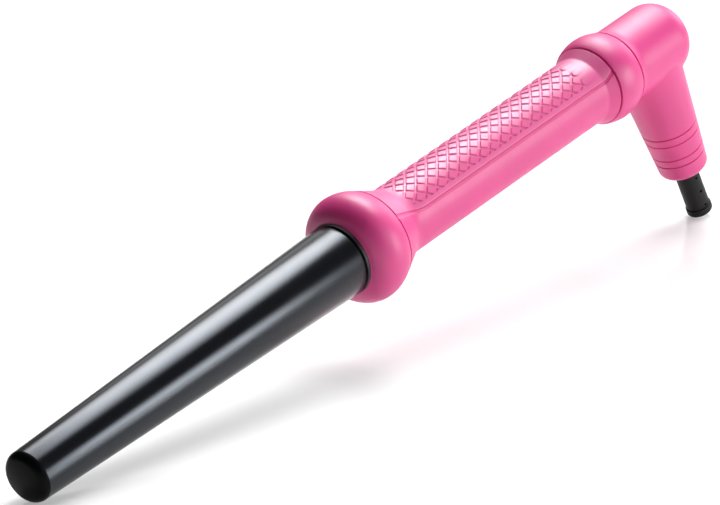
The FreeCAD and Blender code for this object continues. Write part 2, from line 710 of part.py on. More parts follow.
def window_block(margin, lift):
    """The window's lens, or with a margin and a lift the pocket that it sits in."""
    x = SWITCH_PLACE + WINDOW_OFFSET
    half = WINDOW_LENGTH / 2 + margin
    top = rocker_pivot_z() + WINDOW_RISE
    return block(x - half, x + half, WINDOW_WIDTH + 2 * margin, top - WINDOW_DEPTH - margin, top + lift)


def rocker_button():
    return tilted(rocker_blank().cut(window_block(SLIP, ROCKER_RISE)).removeSplitter())


def rocker_window():
    return tilted(window_block(0, 0))


def terminal_places():
    return [SWITCH_PLACE + side * TERMINAL_SPACING / 2 for side in (-1, 1)]


def terminal_tip_z():
    return SWITCH_FLAT + SLIP - SWITCH_BODY_DEPTH - TERMINAL_LENGTH


def switch_terminals():
    high = SWITCH_FLAT + SLIP - SWITCH_BODY_DEPTH
    half = TERMINAL_THICKNESS / 2
    return Part.makeCompound([
        block(x - half, x + half, TERMINAL_WIDTH, terminal_tip_z(), high) for x in terminal_places()])


# ---- leads in the leg --------------------------------------------------------------------------------------
def rear_corner(side):
    """Where a lead that runs level through the handle turns down the leg."""
    back = LEAD_SETBACK * tan(LEAN)
    return leg_point(back, side * LEAD_Y, LEAD_SETBACK)


def board_end(side):
    return vec(BOARD_START + BOARD_LENGTH - LEAD_LAP, side * LEAD_Y, 0)


def neutral_lead():
    foot = leg_point(HOLDER_START - SLIP, LEAD_Y, LEAD_SETBACK)
    return lead([board_end(1), rear_corner(1), foot], LEAD_R, LEAD_BEND)


def live_lead():
    place = terminal_places()[1]
    tip = terminal_tip_z() - LEAD_R - SLIP
    foot = leg_point(HOLDER_START - SLIP, -LEAD_Y, LEAD_SETBACK)
    turn = leg_point((place + HOLDER_START) / 2, -LEAD_Y, LEAD_SETBACK)
    return lead([foot, turn, leg_point(place - TERMINAL_LAP, TERMINAL_WIDTH / 2, tip)], LEAD_R,
                SHORT_LEAD_BEND)


def switch_lead():
    place = terminal_places()[0]
    tip = terminal_tip_z() - LEAD_R - SLIP
    turn = leg_point(place - SWITCH_LEAD_TURN, -LEAD_Y, LEAD_SETBACK)
    touch = leg_point(place + TERMINAL_LAP, TERMINAL_WIDTH / 2, tip)
    return lead([board_end(-1), rear_corner(-1), turn, touch], LEAD_R, SHORT_LEAD_BEND)


# ---- swivel ------------------------------------------------------------------------------------------------
def holder_radius():
    return leg_radius(HOLDER_END) - LEG_WALL - BUSH_R_GAP


def brush_block(place, side, margin, reach):
    """A carbon brush from its slip ring out to the reach, or with a margin the slot that it slides in."""
    half = BRUSH_WIDTH / 2 + margin
    y0, y1 = sorted((side * (SLIP_RING_R + RUNNING_CLEARANCE), side * reach))
    return Part.makeBox(2 * half, y1 - y0, BRUSH_HEIGHT + 2 * margin,
                        vec(place - half, y0, -BRUSH_HEIGHT / 2 - margin))


def brush_holder():
    holder = tube(HOLDER_START, HOLDER_END, holder_radius(), HOLDER_INNER_R)
    for place, side in zip(SLIP_RING_PLACES, (1, -1)):
        holder = holder.cut(brush_block(place, side, SLIP, 2 * holder_radius()))
    return holder


def brushes():
    reach = holder_radius() - SLIP
    return Part.makeCompound([
        brush_block(place, side, 0, reach) for place, side in zip(SLIP_RING_PLACES, (1, -1))])


def swivel_hub():
    return tube(HOLDER_START, GUARD_HEAD_START - SLIP, HUB_R, HUB_BORE_R)


def slip_rings():
    half = SLIP_RING_WIDTH / 2
    return Part.makeCompound([tube(p - half, p + half, SLIP_RING_R, HUB_R + SLIP) for p in SLIP_RING_PLACES])


def swivel_bush():
    outer = leg_radius(LEG_CAVITY_END) - LEG_WALL - BUSH_R_GAP
    return tube(GUARD_HEAD_END + RUNNING_CLEARANCE, LEG_CAVITY_END - SLIP, outer,
                GUARD_SLEEVE_R + RUNNING_CLEARANCE)


def cord_guard():
    rim = GUARD_TIP - GUARD_RIM_WIDTH
    bulge = GUARD_RIM_R - GUARD_SLEEVE_R
    guard = turned(
        (GUARD_HEAD_START, GUARD_BORE_R), (GUARD_HEAD_START, GUARD_HEAD_R), (GUARD_HEAD_END, GUARD_HEAD_R),
        (GUARD_HEAD_END, GUARD_SLEEVE_R), (rim, GUARD_SLEEVE_R), (rim + bulge, GUARD_RIM_R),
        (GUARD_TIP, GUARD_RIM_R), (GUARD_TIP, GUARD_BORE_R))
    guard = softened(guard, GUARD_RIM_EDGE_R, (GUARD_TIP, GUARD_RIM_R))
    turn = radians(GUARD_HOLE_TURN)
    way = vec(0, -cos(turn), sin(turn))
    for i in range(GUARD_HOLE_COUNT):
        place = GUARD_TIP - GUARD_HOLE_SETBACK - i * GUARD_HOLE_PITCH
        guard = guard.cut(Part.makeCylinder(GUARD_HOLE_R, GUARD_RIM_R, vec(place), way))
    return guard


# ---- placing -----------------------------------------------------------------------------------------------
def tip_edge_centre():
    """Place and radius of the middle of the arc that rounds the tip, between the cone and the domed face."""
    slope = atan2(BARREL_BASE_R - BARREL_TIP_R, BARREL_LENGTH)
    along = vec(cos(slope), 0, sin(slope))
    inward = vec(sin(slope), 0, -cos(slope))
    face_r = (BARREL_TIP_R ** 2 + TIP_DOME ** 2) / (2 * TIP_DOME)
    face_mid = vec(face_r - TIP_DOME - BARREL_LENGTH)
    start = vec(-BARREL_LENGTH, 0, BARREL_TIP_R) + inward * TIP_EDGE_R - face_mid
    half_run = start.dot(along)
    excess = start.dot(start) - (face_r - TIP_EDGE_R) ** 2
    centre = face_mid + start - along * (half_run + sqrt(half_run ** 2 - excess))
    return centre.x, centre.z


def standing_tilt():
    """Pitch at which the tip's edge and the cord guard's rim are equally low."""
    tip_x, tip_r = tip_edge_centre()
    rim = GUARD_TIP - GUARD_RIM_EDGE_R
    rim_r = GUARD_RIM_R - GUARD_RIM_EDGE_R
    sine_part = LEG_X + rim * sin(LEAN) - rim_r * cos(LEAN) - tip_x
    cosine_part = -rim * cos(LEAN) - rim_r * sin(LEAN) + tip_r
    lead_angle = asin((GUARD_RIM_EDGE_R - TIP_EDGE_R) / hypot(sine_part, cosine_part))
    return lead_angle - atan2(cosine_part, sine_part)


def main():
    handle = handle_tube()
    pieces = {
        "barrel": barrel(), "heat_ring": heat_ring(), "barrel_clamp": barrel_clamp(),
        "barrel_screws": barrel_screws(), "insulator_disc": insulator_disc(),
        "heater_half_upper": heater_half(1), "heater_half_lower": heater_half(-1),
        "ceramic_heater": ceramic_heater(), "heater_films": heater_films(),
        "thermal_sensor": thermal_sensor(), "thermal_fuse": thermal_fuse(),
        "heater_leads": heater_leads(), "sensor_leads": sensor_leads(),
        "front_guard": front_guard(), "lower_shell": lower_shell(handle), "grip_panel": grip_panel(handle),
        "handle_screws": handle_screws(), "control_board": control_board(), "board_screws": board_screws(),
        "filter_capacitor": on_board(CAPACITOR_SIZE, *CAPACITOR_PLACE),
        "triac": on_board(TRIAC_SIZE, *TRIAC_PLACE),
        "board_connector": on_board(CONNECTOR_SIZE, CONNECTOR_X, 0.0),
        "rear_collar": rear_collar(), "elbow_housing": elbow_housing(),
        "switch_lead": switch_lead(), "live_lead": live_lead(), "neutral_lead": neutral_lead(),
    }
    for maker in (switch_body, switch_terminals, rocker_button, rocker_window, brush_holder, brushes,
                  swivel_hub, slip_rings, swivel_bush, cord_guard):
        pieces[maker.__name__] = in_leg(maker())

    pitch = FreeCAD.Rotation(Y_AXIS, -degrees(standing_tilt()))
    for shape in pieces.values():
        shape.Placement = FreeCAD.Placement(ORIGIN, pitch).multiply(shape.Placement)
    box = Part.makeCompound(list(pieces.values())).optimalBoundingBox(False, False)
    shift = vec(-(box.XMin + box.XMax) / 2, 0, -box.ZMin)

    os.makedirs("parts", exist_ok=True)
    for name, shape in pieces.items():
        shape.Placement = FreeCAD.Placement(shift, FreeCAD.Rotation()).multiply(shape.Placement)
        shape.exportStep(os.path.join("parts", name + ".step"))
        print(name, len(shape.Solids), "valid" if shape.isValid() else "INVALID", round(shape.Volume, 1))
    return FreeCAD.Placement(shift, pitch)


main()
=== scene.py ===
"""Looks of the curling wand: its finishes, the diamond grip, the light, the floor and the camera.

Everything is in the row frame, in metres.  The grip and the other drawn skins are worked out in the tool
frame, in millimetres.  Its x runs along the barrel and the handle towards the rear, with x = 0 where the
barrel meets the guard.  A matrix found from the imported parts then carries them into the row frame.
"""
import json
from math import acos, atan2, ceil, cos, degrees, floor, hypot, pi, radians, sin, sqrt, tan

import bmesh
import bpy
from mathutils import Matrix, Vector


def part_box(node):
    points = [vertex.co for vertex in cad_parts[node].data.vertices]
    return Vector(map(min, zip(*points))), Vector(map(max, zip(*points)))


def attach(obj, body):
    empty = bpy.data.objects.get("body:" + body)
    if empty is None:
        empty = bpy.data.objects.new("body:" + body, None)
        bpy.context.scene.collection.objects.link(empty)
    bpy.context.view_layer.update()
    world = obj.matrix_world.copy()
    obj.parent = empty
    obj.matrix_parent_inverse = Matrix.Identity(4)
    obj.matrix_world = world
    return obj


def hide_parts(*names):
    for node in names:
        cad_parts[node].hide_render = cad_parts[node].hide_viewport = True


MM = 0.001

# ---- camera: where it looks, from how far and from which side ----------------------------------------------
LOOK_AT = (-0.0167, -0.0053, 0.0383)
CAMERA_DISTANCE = 1.6192
CAMERA_AZIMUTH = 47.70
CAMERA_ELEVATION = 16.46
CAMERA_ROLL = 4.89
CAMERA_LENS = 250.4
SENSOR_WIDTH = 36.0

# ---- tool frame: where the middle of the heater plate lies along it ----------------------------------------
PLATE_MIDDLE = -67.0

# ---- barrel outline, as in the solids ----------------------------------------------------------------------
BARREL_LENGTH = 150.8
BARREL_BASE_R = 12.5
BARREL_TIP_R = 8.7
TIP_EDGE_R = 3.0
TIP_DOME = 1.2
TIP_WALL = 1.6
CAVITY_TIP_R = 7.4
NECK_R = 11.4
NECK_WALL = 1.0
NECK_LENGTH = 20.0
TIP_COAT_START = -148.6
BARREL_SEGMENTS = 192
DOME_STEPS = 12
EDGE_STEPS = 16

# ---- handle outline, a little fuller at the front than the solids and with a narrower seam -----------------
HANDLE_START = 17.8
HANDLE_FRONT_R = 17.0
FLARE_END = 28.0
FLARE_BLEND_R = 12.0
HANDLE_R = 12.25
COVE_START = 131.8
COVE_BLEND_R = 2.5
HANDLE_END = 136.2
HANDLE_REAR_R = 14.1
HANDLE_MIDDLE_X = 66.25
SEAM = 0.16

# ---- rear collar outline, drawn in to the elbow at its rear ------------------------------------------------
COLLAR_START = 136.7
COLLAR_FRONT_R = 14.6
COLLAR_MAX_X = 142.5
COLLAR_MAX_R = 15.7
COLLAR_REAR_R = 14.5
COLLAR_END = 148.6
COLLAR_BORE_R = 11.6
COLLAR_SEGMENTS = 128

# ---- rounded rims of the barrel, the handle and the collar -------------------------------------------------
RIM_EDGE_R = 0.3
RIM_STEPS = 5
RIM_CUTS = (0.02, 0.07, 0.14, 0.22, 0.3)

# ---- seam between the grip panel and the lower shell, as in the solids -------------------------------------
SPLIT_START_X = 8.0
SPLIT_START_Z = 14.05
SPLIT_FRONT_X = 31.0
SPLIT_Z = 5.1
SPLIT_REAR_X = 132.5
SPLIT_REAR_Z = 7.4
SPLIT_BLEND_R = 30.0
SPLIT_CORNER_R = 1.0
FLARE_CUTS_END = SPLIT_FRONT_X + SPLIT_BLEND_R / 4

# ---- screw wells in the lower shell, as in the solids ------------------------------------------------------
WELL_XS = (33.0, 112.0)
WELL_R = 2.7
WELL_SEGMENTS = 48
WELL_POST_LENGTH = HANDLE_R / 2

# ---- edges of the two handle shells ------------------------------------------------------------------------
SHELL_THICKNESS = 1.6
PANEL_EDGE_R = 0.2
LEDGE_DEPTH = 0.25
LEDGE_EDGE_R = 0.15
LEDGE_WIDTH = 0.5
LEDGE_RISE = 0.6
TONGUE_REACH = 0.6
TONGUE_DROP = LEDGE_DEPTH + LEDGE_EDGE_R
EDGE_CUTS = (0.0, 0.02, 0.07, 0.15, 0.26, 0.4, 0.5, 0.6, 0.7, 0.8, 0.9, 1.0, 1.1)

# ---- diamond grip ------------------------------------------------------------------------------------------
DIAMOND_PITCH = 5.65
DIAMOND_TURN = 22.0
DIAMOND_X = 35.1
DIAMOND_ANGLE = 27.5
GRIP_START = 29.2
GRIP_END = 124.5
GRIP_HALF_TURN = 57.0
GRIP_FADE = 1.2
GRIP_SIDE_FADE = 0.1
GROOVE_FLOOR = 0.46
GROOVE_WALL = 0.36
GROOVE_DEPTH = 0.42

# ---- fineness of the drawn skins ---------------------------------------------------------------------------
TURN_STEP = 3.0
FLARE_STEP = 0.6
COVE_STEP = 0.4
CUT_TOLERANCE = 1e-4
SMOOTH_ANGLE = 30.0

# ---- sizes along the flat sheets, on which one degree round the handle is ARC_MM wide ----------------------
ARC_MM = radians(1) * HANDLE_R
GRIP_HALF_WIDTH = GRIP_HALF_TURN * ARC_MM
DIAMOND_MIDDLE = Vector((DIAMOND_X, DIAMOND_ANGLE * ARC_MM))

# ---- colours, as linear red, green and blue ----------------------------------------------------------------
PINK = (0.86, 0.05, 0.29)
# The grip panel's pink below is the same plastic as PINK, painted paler: a painted highlight wash where the
# light from above falls on the handle's top.
PINK_GRIP_PAINTED_WASH = (0.86, 0.085, 0.33)
COAT_BLACK = (0.006, 0.0065, 0.008)
COAT_SPECK = (0.03, 0.033, 0.04)
TIP_BLACK = (0.0016, 0.0018, 0.0022)
TIP_RUBBED = (0.003, 0.0033, 0.004)
BOARD_MASK = (0.02, 0.16, 0.05)
BOARD_TRACK = (0.04, 0.26, 0.09)
FLOOR_PALE = (0.80, 0.80, 0.80)
FLOOR_PALER = (0.82, 0.82, 0.82)

# ---- patterns in the finishes: the size of their features, in metres ---------------------------------------
FLOW_SIZE = 22 * MM
GLOSS_SIZE = 6 * MM
BRUSH_SIZE = 0.3 * MM
TARNISH_SIZE = 4 * MM
PEEL_SIZE = 0.9 * MM
SPECK_SIZE = 0.12 * MM
HANDLING_SIZE = 12 * MM
TIP_GRAIN_SIZE = 0.3 * MM
TIP_RUB_SIZE = 5 * MM
WEAVE_SIZE = 0.5 * MM
TRACK_SIZE = 3 * MM
FLOOR_GRAIN_SIZE = 30 * MM

# ---- noise: the range that it mostly keeps to, and the levels where specks and tracks begin ----------------
NOISE_LOW = 0.3
NOISE_HIGH = 0.7
SPECK_EDGE = 0.70
SPECK_MIDDLE = 0.78
TRACK_EDGE = 0.5
TRACK_MIDDLE = 0.52

# ---- gloss and unevenness of the finishes ------------------------------------------------------------------
FLOW_TINT = 0.05
GLOSS_SPREAD = 0.03
TARNISH = 0.9
METAL_SMOOTHER = 0.05
METAL_ROUGHER = 0.08
COAT_ROUGHNESS = (0.17, 0.21)
COAT_SPECULAR = 0.38
COAT_TINT = (0.80, 0.88, 1.0, 1)
TIP_ROUGHNESS = (0.3, 0.38)
TIP_SPECULAR = 0.06
BOARD_ROUGHNESS = (0.3, 0.42)

# ---- relief of the finishes: its height, in metres ---------------------------------------------------------
METAL_RELIEF = 0.002 * MM
PEEL_RELIEF = 0.0015 * MM
TIP_RELIEF = 0.002 * MM
WEAVE_RELIEF = 0.01 * MM

# ---- floor and lamps ---------------------------------------------------------------------------------------
FLOOR_SIZE = 12.0
FLOOR_LIFT = 0.35
FLOOR_GLOSS = 0.15
LAMP_MIDDLE = 0.5
KEY_AIM = (-0.10, 0.0, 0.0)
STRIP_AIM = (-0.21906, 0.0, -0.00085)
LAMPS = {
    "key": dict(way=(0.497, 0.185, 0.848), distance=4.0, aim=KEY_AIM,
                across=5.9, along=1.2, radiance=17.0, soft=True),
    "back": dict(way=(0.93, 0.06, 0.37), distance=4.0, aim=LOOK_AT,
                 across=3.6, along=2.0, radiance=4.0, soft=True),
    "rim": dict(way=(0.68, 0.63, 0.38), distance=4.0, aim=LOOK_AT,
                across=2.2, along=2.0, radiance=1.1, soft=True),
    "strip": dict(way=(0.637, -0.764, 0.10), distance=1.6, aim=STRIP_AIM,
                  across=1.0, along=0.42, radiance=14.5, soft=True),
    "fill": dict(way=(0.0, -0.93, 0.36), distance=1.6, aim=LOOK_AT,
                 across=0.8, along=0.8, radiance=1.7, soft=False),
}

# ---- world: its strength low and high, how much of it is left on the tip's side and beyond the wand --------
WORLD_LOW = 0.5
WORLD_HIGH = 0.07
WORLD_FADE_Z = 0.42
WORLD_LEFT = 0.3
WORLD_LEFT_X = 0.4
WORLD_BEYOND = 0.5
WORLD_BEYOND_Y = 0.5

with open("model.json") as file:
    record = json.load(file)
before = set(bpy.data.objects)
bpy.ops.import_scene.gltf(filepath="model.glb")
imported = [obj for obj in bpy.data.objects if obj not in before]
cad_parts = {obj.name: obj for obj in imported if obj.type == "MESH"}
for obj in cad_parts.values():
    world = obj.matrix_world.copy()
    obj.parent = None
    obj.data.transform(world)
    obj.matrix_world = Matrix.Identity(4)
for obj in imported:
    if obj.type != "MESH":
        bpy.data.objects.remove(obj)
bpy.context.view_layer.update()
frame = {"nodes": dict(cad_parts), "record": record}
nodes = frame["nodes"]


# ---- the tool frame ----------------------------------------------------------------------------------------
def centre(node):
    low, high = (Vector(corner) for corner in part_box(node))
    return (low + high) / 2


def tool_matrix():
    """Carries millimetres in the tool frame into the row frame."""
    plate = centre("ceramic_heater")
    along = (centre("insulator_disc") - plate).normalized()
    across = Vector((0, 1, 0))
    top = along.cross(across)
    origin = plate - along * PLATE_MIDDLE * MM
    turn = Matrix((along, across, top)).transposed().to_4x4()
    return Matrix.Translation(origin) @ turn @ Matrix.Scale(MM, 4)


TOOL = tool_matrix()


# ---- outlines ----------------------------------------------------------------------------------------------
def blend_arc(before, corner, after, radius):
    """Centre, start and end of the arc that rounds a corner between two straight runs."""
    before, corner, after = Vector(before), Vector(corner), Vector(after)
    back = (before - corner).normalized()
    ahead = (after - corner).normalized()
    half = back.angle(ahead) / 2
    reach = radius / tan(half)
    middle = corner + (back + ahead).normalized() * (radius / sin(half))
    return middle, corner + back * reach, corner + ahead * reach


def rounded_line(points, radii):
    """A function of x that follows straight runs between points, with each inner corner rounded."""
    arcs = [blend_arc(points[i], points[i + 1], points[i + 2], radii[i]) for i in range(len(radii))]

    def height(x):
        for i, (middle, start, end) in enumerate(arcs):
            if start.x <= x <= end.x:
                side = 1 if points[i + 1][1] < middle.y else -1
                return middle.y - side * sqrt(radii[i] ** 2 - (x - middle.x) ** 2)
        run = next((i for i in range(len(points) - 2) if x < points[i + 1][0]), len(points) - 2)
        (x0, y0), (x1, y1) = points[run], points[run + 1]
        return y0 + (y1 - y0) * (x - x0) / (x1 - x0)

    return height


handle_radius = rounded_line([
    (HANDLE_START, HANDLE_FRONT_R),
    (FLARE_END, HANDLE_R),
    (COVE_START, HANDLE_R),
    (HANDLE_END, HANDLE_REAR_R),
], [FLARE_BLEND_R, COVE_BLEND_R])

seam_height = rounded_line([
    (SPLIT_START_X, SPLIT_START_Z),
    (SPLIT_FRONT_X, SPLIT_Z),
    (SPLIT_REAR_X, SPLIT_Z),
    (HANDLE_END, SPLIT_REAR_Z),
], [SPLIT_BLEND_R, SPLIT_CORNER_R])


def edge_turn(x, lift):
    """Angle from the top, in degrees, of the shell edge that lies lift above the middle of the seam at x."""
    return degrees(acos((seam_height(x) + lift) / handle_radius(x)))


# ---- flat sheets that are wrapped round the handle ---------------------------------------------------------
def cut_sheet(bm, point, normal, inside):
    """Cut the flat sheet along a line, in the faces whose middle passes the inside test."""
    faces = [f for f in bm.faces if inside(f.calc_center_median())]
    geom = set(faces)
    for face in faces:
        geom.update(face.edges)
        geom.update(face.verts)
    bmesh.ops.bisect_plane(
        bm, geom=list(geom), plane_co=(*point, 0), plane_no=(*normal, 0), dist=CUT_TOLERANCE)


def everywhere(_):
    return True


def in_grip(p):
    return GRIP_START < p.x < GRIP_END and abs(p.y) < GRIP_HALF_WIDTH


def stations(start, end, step):
    """Evenly spaced places between start and end, no further apart than step."""
    count = ceil((end - start) / step)
    return [start + (end - start) * i / count for i in range(1, count)]


def groove_lines():
    """Unit normal and spacing of the two families of grooves on the flat sheet."""
    rise = DIAMOND_TURN * ARC_MM
    scale = hypot(1 / DIAMOND_PITCH, 1 / rise)
    return [(Vector((1 / DIAMOND_PITCH, side / rise)) / scale, 1 / scale) for side in (-1, 1)]


LATTICE = groove_lines()


def groove_depth(p):
    """How deep the grip is cut at a point of the flat sheet."""
    if not GRIP_START <= p.x <= GRIP_END:
        return 0.0
    end_fade = min(p.x - GRIP_START, GRIP_END - p.x) / GRIP_FADE
    side_fade = (GRIP_HALF_WIDTH - abs(p.y)) / GRIP_SIDE_FADE
    deepest = 0.0
    for normal, spacing in LATTICE:
        along = (p - DIAMOND_MIDDLE).dot(normal) / spacing
        off = abs(along - floor(along) - 0.5) * spacing
        deepest = max(deepest, min(1.0, (GROOVE_FLOOR / 2 + GROOVE_WALL - off) / GROOVE_WALL))
    return GROOVE_DEPTH * deepest * min(1.0, max(0.0, min(end_fade, side_fade)))


def cut_lattice(bm):
    """Divide the grip along both edges of every groove's floor and walls."""
    corners = [Vector((x, side * GRIP_HALF_WIDTH)) for x in (GRIP_START, GRIP_END) for side in (-1, 1)]
    inner = GROOVE_FLOOR / 2
    outer = inner + GROOVE_WALL
    for normal, spacing in LATTICE:
        places = [(corner - DIAMOND_MIDDLE).dot(normal) / spacing for corner in corners]
        for line in range(floor(min(places)), ceil(max(places)) + 1):
            for off in (-outer, -inner, inner, outer):
                point = DIAMOND_MIDDLE + normal * ((line + 0.5) * spacing + off)
                cut_sheet(bm, point, normal, in_grip)


def shell_sheet(side, tongue):
    """A handle shell laid flat, x along it and y round it, with a tongue past each long edge."""
    bm = bmesh.new()
    reach = side + tongue
    corners = [(HANDLE_START, -reach), (HANDLE_START, reach), (HANDLE_END, reach), (HANDLE_END, -reach)]
    bm.faces.new([bm.verts.new((x, y, 0)) for x, y in corners])
    places = stations(HANDLE_START, FLARE_CUTS_END, FLARE_STEP)
    places += stations(COVE_START - COVE_BLEND_R, HANDLE_END, COVE_STEP)
    places += [HANDLE_START + inset for inset in RIM_CUTS] + [HANDLE_END - inset for inset in RIM_CUTS]
    for x in places:
        cut_sheet(bm, (x, 0), (1, 0), everywhere)
    for y in stations(-side, side, TURN_STEP * ARC_MM):
        cut_sheet(bm, (0, y), (0, 1), everywhere)
    for sign in (-1, 1):
        for inset in EDGE_CUTS:
            cut_sheet(bm, (0, sign * (side - inset)), (0, 1), everywhere)
    return bm


def cut_grip(bm):
    """Divide the flat panel along the edges of the grip and of its grooves."""
    for x in (GRIP_START, GRIP_START + GRIP_FADE, GRIP_END - GRIP_FADE, GRIP_END):
        cut_sheet(bm, (x, 0), (1, 0), everywhere)
    for sign in (-1, 1):
        for fade in (0, GRIP_SIDE_FADE):
            cut_sheet(bm, (0, sign * (GRIP_HALF_WIDTH - fade)), (0, 1), everywhere)
    cut_lattice(bm)


def round_drop(distance, radius):
    """How far a rounded edge falls away at a distance from it."""
    inward = min(radius, max(0.0, radius - distance))
    return radius - sqrt(radius ** 2 - inward ** 2)


def rim_drop(x):
    """How far the handle's front and rear rims fall away at x."""
    return round_drop(min(x - HANDLE_START, HANDLE_END - x), RIM_EDGE_R)


def panel_drop(flat, side):
    """The grip panel's relief: its cut diamonds and its rounded long edges."""
    return groove_depth(flat) + round_drop(side - abs(flat.y), PANEL_EDGE_R)


def ledge_drop(flat, side):
    """The lower shell's edge: a tongue under the panel, a low ledge along the seam, then a soft step up."""
    distance = side - abs(flat.y)
    if distance < 0:
        return TONGUE_DROP
    rise = min(1.0, max(0.0, (distance - LEDGE_WIDTH) / LEDGE_RISE))
    step = rise * rise * (3 - 2 * rise)
    return LEDGE_DEPTH * (1 - step) + round_drop(distance, LEDGE_EDGE_R)


def add_inside(bm):
    """Close a sheet with a twin that faces the other way, and give each vertex's twin."""
    rim = [edge.link_loops[0] for edge in bm.edges if edge.is_boundary]
    outer = list(bm.verts)
    copy = bmesh.ops.duplicate(bm, geom=bm.verts[:] + bm.edges[:] + bm.faces[:])
    twin = {vert: copy["vert_map"][vert] for vert in outer}
    for item in copy["geom"]:
        if isinstance(item, bmesh.types.BMFace):
            item.normal_flip()
    for loop in rim:
        first, second = loop.vert, loop.link_loop_next.vert
        bm.faces.new((second, first, twin[first], twin[second]))
    return twin


def wrap(bm, side, middle, half_turn, drop):
    """Thicken a flat shell and bend it round the handle, its middle line at the angle middle from the top."""
    for vert, twin in add_inside(bm).items():
        flat = vert.co.xy
        inside = max(-side, min(side, flat.y))
        radius = handle_radius(flat.x)
        turn = radians(middle + inside / side * half_turn(flat.x)) + (flat.y - inside) / radius
        outer = radius - drop(flat, side) - rim_drop(flat.x)
        inner = radius - SHELL_THICKNESS
        vert.co = (flat.x, -outer * sin(turn), outer * cos(turn))
        twin.co = (flat.x, -inner * sin(turn), inner * cos(turn))
    return bm


def grip_panel():
    """The upper handle shell with its cut diamonds."""
    def half_turn(x):
        return edge_turn(x, SEAM / 2)

    side = half_turn(HANDLE_MIDDLE_X) * ARC_MM
    bm = shell_sheet(side, 0.0)
    cut_grip(bm)
    return wrap(bm, side, 0.0, half_turn, panel_drop)


def lower_shell():
    """The lower handle shell, whose tongue closes the seam from below."""
    def half_turn(x):
        return 180 - edge_turn(x, -SEAM / 2)

    side = half_turn(HANDLE_MIDDLE_X) * ARC_MM
    return wrap(shell_sheet(side, TONGUE_REACH), side, 180.0, half_turn, ledge_drop)


# ---- turned skins ------------------------------------------------------------------------------------------
def arc_points(middle, radius, start, end, count):
    """Points of an arc from one angle to another, in degrees from the x axis."""
    angles = [radians(start + (end - start) * i / count) for i in range(count + 1)]
    return [(middle[0] + radius * cos(a), middle[1] + radius * sin(a)) for a in angles]


def barrel_outline():
    """Half section of the barrel, from the middle of its tip over the cone to the bore's floor."""
    slope = atan2(BARREL_BASE_R - BARREL_TIP_R, BARREL_LENGTH)
    along = Vector((cos(slope), sin(slope)))
    inward = Vector((sin(slope), -cos(slope)))
    face_r = (BARREL_TIP_R ** 2 + TIP_DOME ** 2) / (2 * TIP_DOME)
    face_mid = Vector((face_r - TIP_DOME - BARREL_LENGTH, 0))
    start = Vector((-BARREL_LENGTH, BARREL_TIP_R)) + inward * TIP_EDGE_R - face_mid
    offset = start.dot(along)
    slide = offset + sqrt(offset ** 2 - start.dot(start) + (face_r - TIP_EDGE_R) ** 2)
    edge_mid = face_mid + start - along * slide
    face_end = 180 - abs(degrees((edge_mid - face_mid).angle_signed(Vector((-1, 0)))))
    side_turn = 90 + degrees(slope)
    base_mid = (-RIM_EDGE_R, BARREL_BASE_R - RIM_EDGE_R)
    cavity_base_r = NECK_R - NECK_WALL
    floor_x = TIP_WALL - BARREL_LENGTH
    points = arc_points(face_mid, face_r, 180, face_end, DOME_STEPS)
    points += arc_points(edge_mid, TIP_EDGE_R, face_end, side_turn, EDGE_STEPS)
    points += arc_points(base_mid, RIM_EDGE_R, 90, 0, RIM_STEPS)
    points += [(0, NECK_R), (NECK_LENGTH, NECK_R), (NECK_LENGTH, cavity_base_r), (0, cavity_base_r),
               (floor_x, CAVITY_TIP_R), (floor_x, 0)]
    return points


def collar_outline():
    """Closed section of the rear collar: its crowned outside, two rounded rims and its bore."""
    front = (COLLAR_MAX_X - COLLAR_START) ** 2
    rear = (COLLAR_END - COLLAR_MAX_X) ** 2
    front_mid = (COLLAR_START + RIM_EDGE_R, COLLAR_FRONT_R - RIM_EDGE_R)
    rear_mid = (COLLAR_END - RIM_EDGE_R, COLLAR_REAR_R - RIM_EDGE_R)
    points = arc_points(front_mid, RIM_EDGE_R, 180, 90, RIM_STEPS)
    for x in stations(front_mid[0], rear_mid[0], COVE_STEP):
        edge, run = (COLLAR_FRONT_R, front) if x < COLLAR_MAX_X else (COLLAR_REAR_R, rear)
        points.append((x, COLLAR_MAX_R - (COLLAR_MAX_R - edge) * (x - COLLAR_MAX_X) ** 2 / run))
    points += arc_points(rear_mid, RIM_EDGE_R, 90, 0, RIM_STEPS)
    points += [(COLLAR_END, COLLAR_BORE_R), (COLLAR_START, COLLAR_BORE_R)]
    return points


def add_ring(bm, point, segments):
    """The vertices of one ring about the x axis, through a point of the section."""
    x, radius = point
    turns = [2 * pi * i / segments for i in range(segments)]
    return [bm.verts.new((x, radius * sin(turn), radius * cos(turn))) for turn in turns]


def add_band(bm, ring, following):
    """The faces between two rings."""
    for i in range(len(ring)):
        j = (i + 1) % len(ring)
        bm.faces.new((ring[i], following[i], following[j], ring[j]))


def add_cap(bm, middle, ring):
    """The fan of faces that closes a ring at a point of the axis."""
    for i in range(len(ring)):
        bm.faces.new((middle, ring[i], ring[(i + 1) % len(ring)]))


def turned(points, segments, closed):
    """A skin turned about the x axis, from a closed section or one that starts and ends on the axis."""
    bm = bmesh.new()
    rings = [add_ring(bm, point, segments) for point in (points if closed else points[1:-1])]
    for ring, following in zip(rings, rings[1:]):
        add_band(bm, ring, following)
    if closed:
        add_band(bm, rings[-1], rings[0])
    else:
        add_cap(bm, bm.verts.new((points[0][0], 0, 0)), rings[0])
        add_cap(bm, bm.verts.new((points[-1][0], 0, 0)), rings[-1])
    bmesh.ops.recalc_face_normals(bm, faces=bm.faces)
    return bm


def as_object(name, bm):
    """A smooth object in the row frame, made from a skin in the tool frame."""
    bm.transform(TOOL)
    mesh = bpy.data.meshes.new(name)
    bm.to_mesh(mesh)
    bm.free()
    obj = bpy.data.objects.new(name, mesh)
    bpy.context.collection.objects.link(obj)
    mesh.shade_smooth()
    mesh.set_sharp_from_angle(angle=radians(SMOOTH_ANGLE))
    return obj


